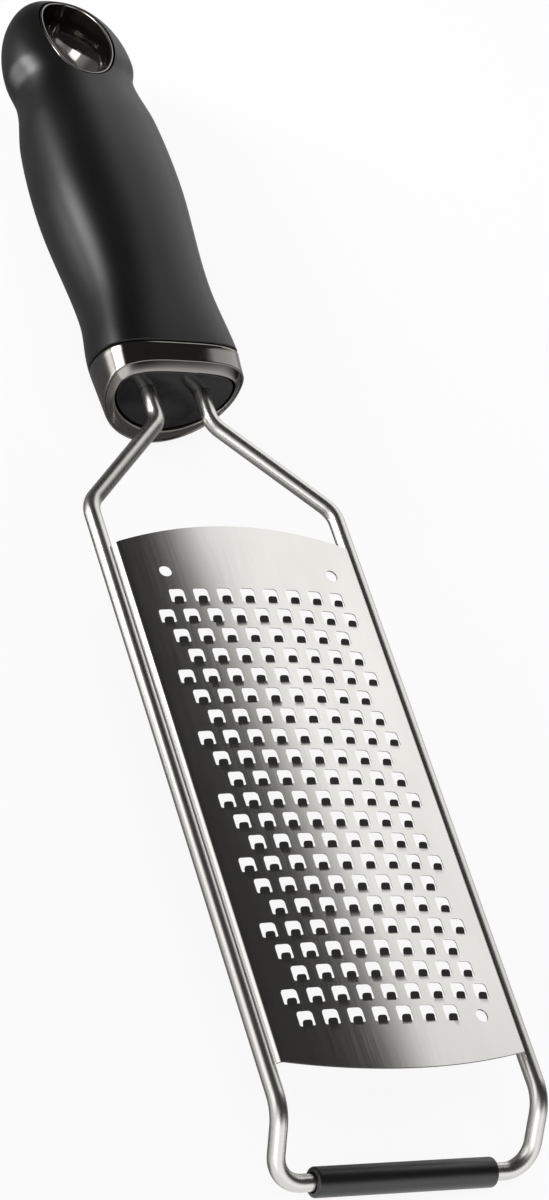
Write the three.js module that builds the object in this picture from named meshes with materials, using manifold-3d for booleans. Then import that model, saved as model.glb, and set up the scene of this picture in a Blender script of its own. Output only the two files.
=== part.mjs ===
// Coarse grater: an arched steel blade with rows of raised teeth, welded into a bent wire frame with a
// moulded handle. Millimetres, +Z up. The grater lies face up on a table: +Y runs from the foot to the
// handle, and the origin is on the table under the middle of its box. Inside the group, z = 0 is the plane
// of the side rails' centre lines and y = 0 is the middle of the blade.

import * as THREE from 'three';
import { mergeGeometries, mergeVertices } from 'three/addons/utils/BufferGeometryUtils.js';
import Module from 'manifold-3d';

// Fits
const seatGap = 0.3; // clearance between a piece and its seat

// Wire frame: one round rod, bent, with both ends in the handle
const rodDiameter = 3.8;
const railSpacing = 62.2; // between the centre lines of the side rails
const neckSpacing = 13.8; // between the rod ends at the handle
const footSpacing = 60.8; // between the legs where they meet the foot bar
const shoulderGap = 8.7; // along the grater, from the blade's end to the shoulder bends
const slantRun = 24.6; // along the grater, from the shoulder bends to the neck bends
const neckReach = 9.9; // along the grater, from the neck bends to the collar's rim
const kneeGap = 5.7; // along the grater, from the blade's end to the knee bends
const footSetback = 10.5; // along the grater, from the knee bends to the foot bar
const footDrop = 11.7; // foot bar below the rails
const socketDepth = 32; // rod inside the handle, from the collar's rim
const neckBend = 6; // centre-line bend radii
const shoulderBend = 7;
const kneeBend = 8;
const footBend = 6.5;

// Rubber sleeve on the foot bar
const sleeveDiameter = 6.4;
const sleeveLength = 43;
const sleeveChamfer = 0.6;

// Blade: a thin sheet, arched across, with a lip at each side that comes down on the rail
const bladeLength = 138.1; // along the middle
const endBow = 3.9; // how far each end bows out between its corners
const sheetThickness = 0.4;
const archRadius = 222;
const lipLength = 1.2;
const lipAngle = THREE.MathUtils.degToRad(63); // below level
const seatAngle = THREE.MathUtils.degToRad(40); // where the lip meets the rail, from the rail's top

// Teeth: a tongue at the foot side of each window, raised towards the handle
const columnPitch = 5.74;
const rowPitch = 5.32;
const rowShifts = [1 / 6, 0, -1 / 6]; // sideways steps of the rows, in column pitches, repeated
const firstRowInset = 20.6; // from the blade's handle end to the first row's roots
const lastRowMargin = 10.5; // least distance from the last row's roots to the blade's foot end
const sideMargin = 3.2; // least distance from a window to the lip
const windowWidth = 3.5;
const windowLength = 3.5;
const windowCorner = 0.8;
const tongueWidth = 2.2;
const tongueLength = 1.4;
const tongueThickness = 0.25;
const tongueCorner = 0.5;
const tongueRoot = 0.2; // hidden in the sheet
const tongueDepth = 0.05; // the tongue starts this far below the sheet's upper skin
const tongueAngle = THREE.MathUtils.degToRad(20);

// Round holes: two by the handle end, one in place of the last tooth
const roundHole = 3;
const roundHoleSpread = 42; // between the two at the handle end
const handleHoleInset = 12.2; // from the blade's handle end
const footHoleInset = 12.1; // from the blade's foot end
const leastWeb = 0.8; // steel left between a round hole and a window

// Handle cross-sections at a distance along from the collar's rim: half width, height above and below the
// rails' plane, roundness above and below (2 is an ellipse, more is squarer), and how far the section leans
// towards the tip per millimetre of height
const collarFlare = 0.3; // the collar's half width grows by this towards the grip
const rimSection = { along: 0, halfWidth: 17.1, rise: 9, drop: 17, upper: 3.2, lower: 1.9, lean: 0.13 };
const jointSection = {
  along: 8.4,
  halfWidth: rimSection.halfWidth + collarFlare,
  rise: 9.8,
  drop: 17.1,
  upper: 3.2,
  lower: 2,
  lean: -0.25,
};
const waistSection = { along: 25, halfWidth: 15.9, rise: 11, drop: 17.1, upper: 2.7, lower: 1.9, lean: 0 };
const bellySection = { along: 58, halfWidth: 17.6, rise: 12.3, drop: 18, upper: 2.5, lower: 2.1, lean: 0 };
const taperSection = { along: 77, halfWidth: 16.8, rise: 11.5, drop: 16.8, upper: 2.5, lower: 2.1, lean: 0 };
const neckSection = { along: 91, halfWidth: 14.7, rise: 10.1, drop: 14.4, upper: 2.5, lower: 2, lean: 0 };
const bulbSection = { along: 97, halfWidth: 16.3, rise: 10.4, drop: 13.8, upper: 2.5, lower: 1.9, lean: 0 };
const bulbLength = 22.6; // from the bulb's widest section to the tip

// Collar and plug
const plugSection = { halfWidth: 14.6, rise: 6.1, drop: 11.6, upper: 3.2, lower: 1.8, lean: rimSection.lean };
const bezelDome = 1.5; // the bezel's inner edge stands out this far from the rim
const bezelEdge = 0.4; // width of the bezel's inner edge
const plugRecess = 0.4; // the plug's face sits this far inside the bezel
const plugThickness = 5.5;

// Grip and core
const gripWall = 3;
const noseInset = 1.5; // the core's nose is this much smaller than the plug
const coreLength = 76; // from the collar to the core's end

// Hanging hole, an oval, and its liner
const hangHoleDistance = 5.1; // from the bulb's widest section towards the tip
const hangHoleWidth = 16.2; // across, at the two rims
const hangHoleLength = 25.8; // along the handle, at the two rims
const hangHoleWaist = 0.82; // size at mid height, as a share of the rims' size
const linerWall = 0.8; // at the rims
const linerInset = 0.25; // the liner's rims sit this far inside the grip's surface

// Facets
const rodSides = 12;
const bendSteps = 5;
const sleeveSides = 16;
const sectionSides = 28;
const holeSides = 24;
const archStrips = 8;
const endArcSteps = 8;

const rodRadius = rodDiameter / 2;
const railX = railSpacing / 2;
const bladeEndY = bladeLength / 2;
const shoulderY = bladeEndY + shoulderGap;
const neckY = shoulderY + slantRun;
const collarY = neckY + neckReach;
const kneeY = -bladeEndY - kneeGap;
const footY = kneeY - footSetback;

const wasm = await Module();
wasm.setup();

// A closed mesh as a solid that can be joined and cut.
function solid(geometry) {
  const bare = geometry.clone();
  bare.deleteAttribute('normal');
  bare.deleteAttribute('uv');
  const merged = mergeVertices(bare);
  return new wasm.Manifold(
    new wasm.Mesh({
      numProp: 3,
      vertProperties: new Float32Array(merged.attributes.position.array),
      triVerts: new Uint32Array(merged.index.array),
    }),
  );
}

function meshOf(name, body, material) {
  const { vertProperties, triVerts } = body.getMesh();
  const geometry = new THREE.BufferGeometry();
  geometry.setAttribute('position', new THREE.BufferAttribute(vertProperties, 3));
  geometry.setIndex(new THREE.BufferAttribute(triVerts, 1));
  geometry.computeVertexNormals();
  const mesh = new THREE.Mesh(geometry, material);
  mesh.name = name;
  return mesh;
}

// A straight prism of a plan outline, from z = low to z = high.
function prism(shape, low, high) {
  const geometry = new THREE.ExtrudeGeometry(shape, { depth: high - low, bevelEnabled: false });
  geometry.translate(0, 0, low);
  return geometry;
}

// A round bar along Y, for bores.
function barAlongY(diameter, start, end, sides) {
  const radius = diameter / 2 / Math.cos(Math.PI / sides);
  const geometry = new THREE.CylinderGeometry(radius, radius, end - start, sides);
  geometry.translate(0, (start + end) / 2, 0);
  return geometry;
}

// A round bar along Z, for holes.
function barAlongZ(diameter, height, sides) {
  const geometry = new THREE.CylinderGeometry(diameter / 2, diameter / 2, height, sides);
  geometry.rotateX(Math.PI / 2);
  return geometry;
}

// The rod's centre line: straight runs between corners, with a round bend at each corner.
class BentRod extends THREE.Curve {
  constructor(start, bends, end) {
    super();
    this.points = [start];
    this.tangents = [bends[0].corner.clone().sub(start).normalize()];
    bends.forEach(({ corner, radius }, index) => {
      const before = index > 0 ? bends[index - 1].corner : start;
      const after = index < bends.length - 1 ? bends[index + 1].corner : end;
      this.addBend(corner, before, after, radius);
    });
    this.points.push(end);
    this.tangents.push(end.clone().sub(bends[bends.length - 1].corner).normalize());
  }

  addBend(corner, before, after, radius) {
    const into = corner.clone().sub(before).normalize();
    const out = after.clone().sub(corner).normalize();
    const turn = into.angleTo(out);
    const inward = out.clone().addScaledVector(into, -out.dot(into)).normalize();
    const first = corner.clone().addScaledVector(into, -radius * Math.tan(turn / 2));
    for (let step = 0; step <= bendSteps; step++) {
      const angle = (turn * step) / bendSteps;
      const point = first.clone();
      point.addScaledVector(into, radius * Math.sin(angle));
      point.addScaledVector(inward, radius * (1 - Math.cos(angle)));
      const tangent = into.clone().multiplyScalar(Math.cos(angle)).addScaledVector(inward, Math.sin(angle));
      this.points.push(point);
      this.tangents.push(tangent);
    }
  }

  getPointAt(share) {
    return this.points[Math.round(share * (this.points.length - 1))].clone();
  }

  getTangentAt(share) {
    return this.tangents[Math.round(share * (this.points.length - 1))].clone();
  }
}

function buildWireFrame() {
  const corners = [
    { corner: new THREE.Vector3(neckSpacing / 2, neckY, 0), radius: neckBend },
    { corner: new THREE.Vector3(railX, shoulderY, 0), radius: shoulderBend },
    { corner: new THREE.Vector3(railX, kneeY, 0), radius: kneeBend },
    { corner: new THREE.Vector3(footSpacing / 2, footY, -footDrop), radius: footBend },
  ];
  const mirrored = ({ corner, radius }) => ({ corner: corner.clone().setX(-corner.x), radius });
  const bends = [...corners.map(mirrored), ...corners.toReversed()];
  const start = new THREE.Vector3(-neckSpacing / 2, collarY + socketDepth, 0);
  const end = start.clone().setX(-start.x);
  const path = new BentRod(start, bends, end);
  const section = new THREE.Shape().absarc(0, 0, rodRadius, 0, Math.PI * 2);
  return solid(
    new THREE.ExtrudeGeometry(section, {
      curveSegments: rodSides / 2,
      steps: path.points.length - 1,
      extrudePath: path,
    }),
  );
}

// The tube lies with one of its facets level with the table when the grater lies at the given angle.
function buildFootSleeve(lieAngle) {
  const facet = Math.cos(Math.PI / sleeveSides);
  const outer = sleeveDiameter / 2 / facet;
  const bore = (rodRadius + seatGap) / facet;
  const half = sleeveLength / 2;
  const profile = [
    new THREE.Vector2(bore, -half),
    new THREE.Vector2(outer - sleeveChamfer, -half),
    new THREE.Vector2(outer, -half + sleeveChamfer),
    new THREE.Vector2(outer, half - sleeveChamfer),
    new THREE.Vector2(outer - sleeveChamfer, half),
    new THREE.Vector2(bore, half),
    new THREE.Vector2(bore, -half),
  ];
  const geometry = new THREE.LatheGeometry(profile, sleeveSides);
  geometry.rotateY(Math.PI / sleeveSides);
  geometry.rotateZ(Math.PI / 2);
  geometry.rotateX(-lieAngle);
  geometry.translate(0, footY, -footDrop);
  return solid(geometry);
}

// Where the blade's skin turns down into the lip on the +X side, at mid thickness.
const lipEnd = new THREE.Vector2(
  railX - (rodRadius + seatGap) * Math.sin(seatAngle),
  (rodRadius + seatGap) * Math.cos(seatAngle),
);
const lipTop = new THREE.Vector2(
  lipEnd.x - lipLength * Math.cos(lipAngle),
  lipEnd.y + lipLength * Math.sin(lipAngle),
);
const archCentreZ = lipTop.y - Math.sqrt(archRadius ** 2 - lipTop.x ** 2);
const archHalfAngle = Math.asin(lipTop.x / archRadius);

// One skin of the sheet, from the -X lip to the +X lip, offset outwards from mid thickness.
function bladeSkin(offset) {
  const archNormal = new THREE.Vector2(Math.sin(archHalfAngle), Math.cos(archHalfAngle));
  const lipNormal = new THREE.Vector2(Math.sin(lipAngle), Math.cos(lipAngle));
  const mitre = archNormal.clone().add(lipNormal).divideScalar(1 + archNormal.dot(lipNormal));
  const corner = lipTop.clone().addScaledVector(mitre, offset);
  const end = lipEnd.clone().addScaledVector(lipNormal, offset);
  const points = [new THREE.Vector2(-end.x, end.y), new THREE.Vector2(-corner.x, corner.y)];
  for (let strip = 1; strip < archStrips; strip++) {
    const angle = archHalfAngle * ((2 * strip) / archStrips - 1);
    const radius = archRadius + offset;
    points.push(new THREE.Vector2(radius * Math.sin(angle), archCentreZ + radius * Math.cos(angle)));
  }
  points.push(corner, end);
  return points;
}

// The sheet as an arched section along Y, trimmed to a plan with bowed ends.
function bladeSheet() {
  const outline = [...bladeSkin(sheetThickness / 2), ...bladeSkin(-sheetThickness / 2).reverse()];
  const arched = prism(new THREE.Shape(outline), -bladeLength / 2, bladeLength / 2);
  arched.rotateX(Math.PI / 2);
  const halfChord = lipEnd.x;
  const bowRadius = (halfChord ** 2 + endBow ** 2) / (2 * endBow);
  const bowAngle = Math.asin(halfChord / bowRadius);
  const sideX = railX;
  const plan = new THREE.Shape();
  const bowCentre = bladeEndY - bowRadius;
  plan.moveTo(sideX, bowCentre + bowRadius * Math.cos(bowAngle));
  plan.absarc(0, bowCentre, bowRadius, Math.PI / 2 - bowAngle, Math.PI / 2 + bowAngle);
  plan.lineTo(-sideX, bowCentre + bowRadius * Math.cos(bowAngle));
  plan.lineTo(-sideX, -bowCentre - bowRadius * Math.cos(bowAngle));
  plan.absarc(0, -bowCentre, bowRadius, -Math.PI / 2 - bowAngle, -Math.PI / 2 + bowAngle);
  plan.lineTo(sideX, -bowCentre - bowRadius * Math.cos(bowAngle));
  const trimmer = new THREE.ExtrudeGeometry(plan, {
    depth: archRadius,
    bevelEnabled: false,
    curveSegments: endArcSteps / 2,
  });
  trimmer.translate(0, 0, -archRadius / 2);
  return solid(arched).intersect(solid(trimmer));
}

// A frame on the arch's upper skin at x, with its Z square to the sheet.
function onArch(x, y) {
  const radius = archRadius + sheetThickness / 2;
  const angle = Math.asin(x / radius);
  const matrix = new THREE.Matrix4().makeRotationY(angle);
  return matrix.setPosition(x, y, archCentreZ + radius * Math.cos(angle));
}

// The two holes by the handle are in line with the first row.
const firstRowShift = rowShifts[0] * columnPitch;
const roundHoles = [
  { x: firstRowShift - roundHoleSpread / 2, y: bladeEndY - handleHoleInset },
  { x: firstRowShift + roundHoleSpread / 2, y: bladeEndY - handleHoleInset },
  { x: roundHoleSpread / 2, y: footHoleInset - bladeEndY },
];

// The places of the teeth's roots: rows step sideways in turn, and a tooth gives way to a round hole.
function toothPlaces() {
  const columns = Math.floor((lipTop.x - sideMargin - windowWidth / 2) / columnPitch);
  const rows = Math.floor((bladeLength - firstRowInset - lastRowMargin) / rowPitch) + 1;
  const places = [];
  for (let row = 0; row < rows; row++) {
    const shift = rowShifts[row % rowShifts.length];
    const offset = shift === 0 ? 0 : 0.5 + shift;
    const count = shift === 0 ? 2 * columns + 1 : 2 * columns;
    const y = bladeEndY - firstRowInset - row * rowPitch;
    for (let column = 0; column < count; column++) {
      places.push({ x: (column - columns + offset) * columnPitch, y });
    }
  }
  const clear = ({ x, y }) =>
    roundHoles.every(
      (hole) =>
        Math.abs(hole.x - x) > (windowWidth + roundHole) / 2 + leastWeb ||
        Math.abs(hole.y - y - windowLength / 2) > (windowLength + roundHole) / 2 + leastWeb,
    );
  return places.filter(clear);
}

// A plan outline from y = start to y = end whose two far corners are cut.
function tabOutline(width, start, end, corner) {
  return new THREE.Shape([
    new THREE.Vector2(-width / 2, start),
    new THREE.Vector2(width / 2, start),
    new THREE.Vector2(width / 2, end - corner),
    new THREE.Vector2(width / 2 - corner, end),
    new THREE.Vector2(corner - width / 2, end),
    new THREE.Vector2(-width / 2, end - corner),
  ]);
}

function buildGraterBlade() {
  const windowOutline = tabOutline(windowWidth, 0, windowLength, windowCorner);
  const windowCutter = prism(windowOutline, -3 * sheetThickness, sheetThickness);
  const tongueOutline = tabOutline(tongueWidth, -tongueRoot, tongueLength, tongueCorner);
  const tongue = prism(tongueOutline, -tongueThickness, 0);
  tongue.rotateX(tongueAngle);
  tongue.translate(0, 0, -tongueDepth);
  const holeCutter = barAlongZ(roundHole, 4 * sheetThickness, holeSides / 2);
  const places = toothPlaces().map(({ x, y }) => onArch(x, y));
  const holes = roundHoles.map(({ x, y }) => onArch(x, y));
  const cutters = mergeGeometries([
    ...places.map((place) => windowCutter.clone().applyMatrix4(place)),
    ...holes.map((place) => holeCutter.clone().toNonIndexed().applyMatrix4(place)),
  ]);
  const tongues = mergeGeometries(places.map((place) => tongue.clone().applyMatrix4(place)));
  return bladeSheet().subtract(solid(cutters)).add(solid(tongues));
}

// One ring of the handle: a rounded section that is squarer above its widest line than below it.
function sectionRing({ along, halfWidth, rise, drop, upper, lower, lean }) {
  const ring = [];
  for (let side = 0; side < sectionSides; side++) {
    const angle = (2 * Math.PI * side) / sectionSides;
    const across = Math.cos(angle);
    const up = Math.sin(angle);
    const power = up > 0 ? upper : lower;
    const height = up > 0 ? rise : drop;
    const x = halfWidth * Math.sign(across) * Math.abs(across) ** (2 / power);
    const z = height * Math.sign(up) * Math.abs(up) ** (2 / power);
    ring.push(new THREE.Vector3(x, collarY + along + lean * z, z));
  }
  return ring;
}

// A closed loft through sections in order from the collar to the tip, with flat ends.
function loft(sections) {
  const rings = sections.map(sectionRing);
  const first = new THREE.Vector3(0, collarY + sections[0].along, 0);
  const last = new THREE.Vector3(0, collarY + sections[sections.length - 1].along, 0);
  const geometry = new THREE.BufferGeometry().setFromPoints([...rings.flat(), first, last]);
  const firstIndex = rings.length * sectionSides;
  const index = [];
  for (let side = 0; side < sectionSides; side++) {
    const next = (side + 1) % sectionSides;
    for (let ring = 0; ring < rings.length - 1; ring++) {
      const near = ring * sectionSides;
      const far = near + sectionSides;
      index.push(near + side, far + side, far + next, near + side, far + next, near + next);
    }
    const end = (rings.length - 1) * sectionSides;
    index.push(firstIndex, side, next, firstIndex + 1, end + next, end + side);
  }
  geometry.setIndex(index);
  return solid(geometry);
}

function insetSection(section, by) {
  const { halfWidth, rise, drop } = section;
  return { ...section, halfWidth: halfWidth - by, rise: rise - by, drop: drop - by };
}

// The grip's outer section at a distance from the collar's rim: a smooth curve to the bulb, then a round end.
const handleStations = [
  rimSection,
  jointSection,
  waistSection,
  bellySection,
  taperSection,
  neckSection,
  bulbSection,
];
const sectionSizes = ['halfWidth', 'rise', 'drop', 'upper', 'lower', 'lean'];
const handleCurve = new THREE.CubicInterpolant(
  handleStations.map(({ along }) => along),
  handleStations.flatMap((station) => sectionSizes.map((size) => station[size])),
  sectionSizes.length,
);
handleCurve.settings = { endingStart: THREE.ZeroCurvatureEnding, endingEnd: THREE.ZeroSlopeEnding };

function handleSection(along) {
  const past = Math.max(0, along - bulbSection.along) / bulbLength;
  const shrink = Math.sqrt(1 - past ** 2);
  const sizes = handleCurve.evaluate(Math.min(along, bulbSection.along));
  const [halfWidth, rise, drop, upper, lower, lean] = sizes;
  return {
    along,
    halfWidth: halfWidth * shrink,
    rise: rise * shrink,
    drop: drop * shrink,
    upper,
    lower,
    lean,
  };
}

function spaced(start, end, count) {
  return Array.from({ length: count + 1 }, (_, step) => start + ((end - start) * step) / count);
}

const gripStart = jointSection.along + seatGap;
const gripBodySteps = 8;
const gripNeckSteps = 5;
const gripEndSteps = 7;
const endShare = 0.985; // the last ring, as a share of the round end's angle

function handleOuter() {
  const neckStart = 2 * neckSection.along - bulbSection.along;
  const body = spaced(gripStart, neckStart, gripBodySteps);
  const neck = spaced(neckStart, bulbSection.along, gripNeckSteps).slice(1);
  const end = spaced(0, (endShare * Math.PI) / 2, gripEndSteps).slice(1);
  const alongs = [...body, ...neck, ...end.map((angle) => bulbSection.along + bulbLength * Math.sin(angle))];
  return alongs.map(handleSection);
}

const hangHoleY = collarY + bulbSection.along + hangHoleDistance;
const holeReach = bulbSection.rise + bulbSection.drop;

// An oval solid on the hole's axis, from a profile in shares of the hole's size, grown by a margin.
function holeSolid(profile, margin) {
  const points = profile.map(([share, z]) => new THREE.Vector2(share, z));
  const geometry = new THREE.LatheGeometry(points, holeSides);
  geometry.rotateX(Math.PI / 2);
  geometry.scale(hangHoleWidth / 2 + margin, hangHoleLength / 2 + margin, 1);
  geometry.translate(0, hangHoleY, 0);
  return solid(geometry);
}

function holeBar(margin) {
  const profile = [
    [0, -holeReach],
    [1, -holeReach],
    [1, holeReach],
    [0, holeReach],
  ];
  return holeSolid(profile, margin);
}

const coreEnd = jointSection.along + coreLength;
const coreSteps = 4;

// The space inside the grip, or the core's body when drawn in from it.
function coreBody(by, start, end) {
  return spaced(start, end, coreSteps).map((along) => insetSection(handleSection(along), gripWall + by));
}

function buildGrip() {
  const cavity = loft(coreBody(0, jointSection.along - seatGap, coreEnd + seatGap));
  return loft(handleOuter()).subtract(cavity).subtract(holeBar(linerWall + seatGap));
}

const plugFace = plugRecess - bezelDome;
const plugBack = plugFace + plugThickness;

function buildCollar() {
  const bezel = { along: -bezelDome, ...plugSection };
  const shell = loft([insetSection(bezel, -seatGap - bezelEdge), rimSection, jointSection]);
  const bore = insetSection(bezel, -seatGap);
  return shell.subtract(
    loft([
      { ...bore, along: -2 * bezelDome },
      { ...bore, along: waistSection.along },
    ]),
  );
}

// Two parallel bores for the rod's ends.
function rodBores(start, end) {
  const bar = barAlongY(rodDiameter + 2 * seatGap, collarY + start, collarY + end, rodSides);
  const left = solid(bar.clone().translate(-neckSpacing / 2, 0, 0));
  const right = solid(bar.clone().translate(neckSpacing / 2, 0, 0));
  return left.add(right);
}

function buildEndPlug() {
  const plug = loft([
    { along: plugFace, ...plugSection },
    { along: plugBack, ...plugSection },
  ]);
  return plug.subtract(rodBores(plugFace - seatGap, plugBack + seatGap));
}

function buildHandleCore() {
  const section = insetSection(plugSection, noseInset);
  const nose = loft([
    { ...section, along: plugBack + seatGap },
    { ...section, along: gripStart + gripWall, lean: jointSection.lean },
  ]);
  const body = loft(coreBody(seatGap, gripStart, coreEnd));
  return nose.add(body).subtract(rodBores(plugBack, socketDepth + seatGap));
}

// The liner narrows to its waist from both rims, which follow the bulb's surface.
function buildHangEyelet() {
  const widen = (1 - hangHoleWaist) * holeReach;
  const funnel = [
    [0, -holeReach],
    [hangHoleWaist + widen / bulbSection.drop, -holeReach],
    [hangHoleWaist, 0],
    [hangHoleWaist + widen / bulbSection.rise, holeReach],
    [0, holeReach],
  ];
  const skin = handleOuter().map((section) => insetSection(section, linerInset));
  return holeBar(linerWall).subtract(holeSolid(funnel, 0)).intersect(loft(skin));
}

// The angle at which the grip and the sleeve touch the table together.
function lyingAngle() {
  const angles = handleOuter().map(({ along, drop, lean }) => {
    const down = drop - footDrop;
    const out = collarY + along - lean * drop - footY;
    return Math.acos(sleeveDiameter / 2 / Math.hypot(down, out)) - Math.atan2(out, down);
  });
  return Math.max(...angles);
}

const polishedSteel = { color: 0xc9c9c6, roughness: 0.18, metalness: 1 };
const satinSteel = { color: 0xb4b4b1, roughness: 0.34, metalness: 1 };
const blackRubber = { color: 0x1c1c1c, roughness: 0.7, metalness: 0 };
const blackChrome = { color: 0x2b2a29, roughness: 0.1, metalness: 1 };
const glossBlack = { color: 0x0c0c0c, roughness: 0.12, metalness: 0 };
const softTouchBlack = { color: 0x262626, roughness: 0.6, metalness: 0 };
const blackPlastic = { color: 0x161616, roughness: 0.45, metalness: 0 };

const lieAngle = lyingAngle();
const grater = new THREE.Group();
grater.add(
  meshOf('grater_blade', buildGraterBlade(), new THREE.MeshStandardMaterial(satinSteel)),
  meshOf('wire_frame', buildWireFrame(), new THREE.MeshStandardMaterial(polishedSteel)),
  meshOf('foot_sleeve', buildFootSleeve(lieAngle), new THREE.MeshStandardMaterial(blackRubber)),
  meshOf('collar', buildCollar(), new THREE.MeshStandardMaterial(blackChrome)),
  meshOf('end_plug', buildEndPlug(), new THREE.MeshStandardMaterial(glossBlack)),
  meshOf('handle_core', buildHandleCore(), new THREE.MeshStandardMaterial(blackPlastic)),
  meshOf('grip', buildGrip(), new THREE.MeshStandardMaterial(softTouchBlack)),
  meshOf('hang_eyelet', buildHangEyelet(), new THREE.MeshStandardMaterial(blackChrome)),
);

// Lay the grater on the table, with the middle of its box over the origin.
grater.rotation.x = lieAngle;
grater.updateMatrixWorld(true);
const box = new THREE.Box3().setFromObject(grater, true);
const middle = box.getCenter(new THREE.Vector3());
grater.position.set(-middle.x, -middle.y, -box.min.z);

export default grater;
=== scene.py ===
import math

import bmesh
import bpy
import numpy as np
from mathutils import Matrix, Vector


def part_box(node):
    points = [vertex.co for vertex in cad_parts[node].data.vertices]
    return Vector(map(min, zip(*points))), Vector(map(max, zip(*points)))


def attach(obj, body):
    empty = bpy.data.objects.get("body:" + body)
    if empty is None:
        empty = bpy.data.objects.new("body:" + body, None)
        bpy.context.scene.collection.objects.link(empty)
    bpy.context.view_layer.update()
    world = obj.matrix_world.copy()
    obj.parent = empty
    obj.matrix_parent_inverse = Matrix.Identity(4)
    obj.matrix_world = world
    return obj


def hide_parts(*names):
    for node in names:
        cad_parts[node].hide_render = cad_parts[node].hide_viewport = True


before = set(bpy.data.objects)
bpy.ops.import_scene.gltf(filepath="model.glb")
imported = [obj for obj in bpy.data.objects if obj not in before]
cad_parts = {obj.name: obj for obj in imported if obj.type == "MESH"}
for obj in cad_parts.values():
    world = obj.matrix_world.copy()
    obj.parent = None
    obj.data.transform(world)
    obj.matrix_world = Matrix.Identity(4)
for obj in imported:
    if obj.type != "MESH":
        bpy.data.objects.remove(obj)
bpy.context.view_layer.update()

# Camera
# It stands above the foot and to the left, and looks along the grater to the handle,
# with a long lens that keeps the rails nearly parallel.
camera_place = (-0.4196238, -0.4816803, 0.6177705)
camera_turn = (40.97468, -23.84937, -17.77373)
scene = bpy.context.scene
scene.view_settings.view_transform = "Standard"
camera_lens = bpy.data.cameras.new("camera")
camera_lens.sensor_fit = "VERTICAL"
camera_lens.sensor_height = 36
camera_lens.lens = 117.826
camera = bpy.data.objects.new("camera", camera_lens)
camera.location = camera_place
camera.rotation_euler = [math.radians(turn) for turn in camera_turn]
scene.collection.objects.link(camera)
scene.camera = camera

# Wire frame
# One round stainless rod, drawn, polished to a soft sheen and cold bent into the neck, the two side rails and
# the foot, with both of its ends held in the handle. Sizes here and below are in millimetres: y = 0 is the
# middle of the blade, and z = 0 is the plane of the rails.
rod_radius = 1.9
rail_x = 31.1
neck_x = 6.9
foot_x = 30.4
blade_end_y = 69.05
shoulder_y = blade_end_y + 8.7
neck_y = shoulder_y + 24.6
rim_y = neck_y + 9.9
knee_y = -blade_end_y - 5.7
foot_y = knee_y - 10.5
foot_z = -11.7
rod_end_y = rim_y + 32
rod_bends = [
    (Vector((neck_x, neck_y, 0)), 6),
    (Vector((rail_x, shoulder_y, 0)), 7),
    (Vector((rail_x, knee_y, 0)), 8),
    (Vector((foot_x, foot_y, foot_z)), 6.5),
]
rod_bend_steps = 14
rod_sides = 40

# The grater lies on its grip and on its foot, turned a little about the foot's bar.
lie_angle = math.radians(0.70426)
foot_low, foot_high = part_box("foot_sleeve")
lay = (
    Matrix.Translation((foot_low + foot_high) / 2)
    @ Matrix.Rotation(lie_angle, 4, "X")
    @ Matrix.Scale(0.001, 4)
    @ Matrix.Translation((0, -foot_y, -foot_z))
)


def linear(shade):
    """An sRGB hex colour as linear red, green, blue and alpha."""
    parts = [int(shade[at:at + 2], 16) / 255 for at in (1, 3, 5)]
    return [part / 12.92 if part <= 0.04045 else ((part + 0.055) / 1.055) ** 2.4 for part in parts] + [1]


def add_node(tree, kind, inputs=None, **settings):
    """A node with its settings; each input is given a value, or linked to another node's output."""
    node = tree.nodes.new(kind)
    for name, value in settings.items():
        setattr(node, name, value)
    for key, value in (inputs or {}).items():
        if isinstance(value, bpy.types.NodeSocket):
            tree.links.new(value, node.inputs[key])
        else:
            node.inputs[key].default_value = value
    return node


def bare_material(name):
    """A material with an empty node tree, and that tree."""
    material = bpy.data.materials.new(name)
    material.use_nodes = True
    material.node_tree.nodes.clear()
    return material, material.node_tree


def new_finish(name, grains, roughness, bumps, plain, shades=None):
    """A finish built on noise grains, each given by its millimetres along x, y and z and by its detail.

    Roughness and shades run between two ends with a grain. Each bump is a grain, a strength and a depth in
    millimetres. The plain sockets are the same all over.
    """
    finish, tree = bare_material(name)
    place = add_node(tree, "ShaderNodeTexCoord").outputs["Object"]
    noises = {}
    for grain, (lengths, detail) in grains.items():
        scale = [1000 / length for length in lengths]
        stretched = add_node(tree, "ShaderNodeMapping", {"Vector": place, "Scale": scale}).outputs[0]
        pattern = {"Vector": stretched, "Scale": 1, "Detail": detail}
        noises[grain] = add_node(tree, "ShaderNodeTexNoise", pattern).outputs["Fac"]
    # A noise seldom leaves this range.
    usual_range = {"From Min": 0.3, "From Max": 0.7}
    inputs = dict(plain)
    grain, low, high = roughness
    ends = {"Value": noises[grain], **usual_range, "To Min": low, "To Max": high}
    inputs["Roughness"] = add_node(tree, "ShaderNodeMapRange", ends).outputs[0]
    if shades:
        grain, dark, light = shades
        share = add_node(tree, "ShaderNodeMapRange", {"Value": noises[grain], **usual_range}).outputs[0]
        ends = {"Factor": share, 6: linear(dark), 7: linear(light)}
        inputs["Base Color"] = add_node(tree, "ShaderNodeMix", ends, data_type="RGBA").outputs[2]
    for grain, strength, depth in bumps:
        relief = {"Strength": strength, "Distance": depth / 1000, "Height": noises[grain]}
        if "Normal" in inputs:
            relief["Normal"] = inputs["Normal"]
        inputs["Normal"] = add_node(tree, "ShaderNodeBump", relief).outputs[0]
    shader = add_node(tree, "ShaderNodeBsdfPrincipled", inputs)
    add_node(tree, "ShaderNodeOutputMaterial", {"Surface": shader.outputs[0]})
    return finish


def bent_corner(corner, into, out, radius, steps):
    """Points of a round bend at a corner, between the directions that come in and go out."""
    turn = into.angle(out)
    inward = (out - into * out.dot(into)).normalized()
    first = corner - into * radius * math.tan(turn / 2)
    angles = [turn * step / steps for step in range(steps + 1)]
    return [first + into * radius * math.sin(a) + inward * radius * (1 - math.cos(a)) for a in angles]


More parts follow.
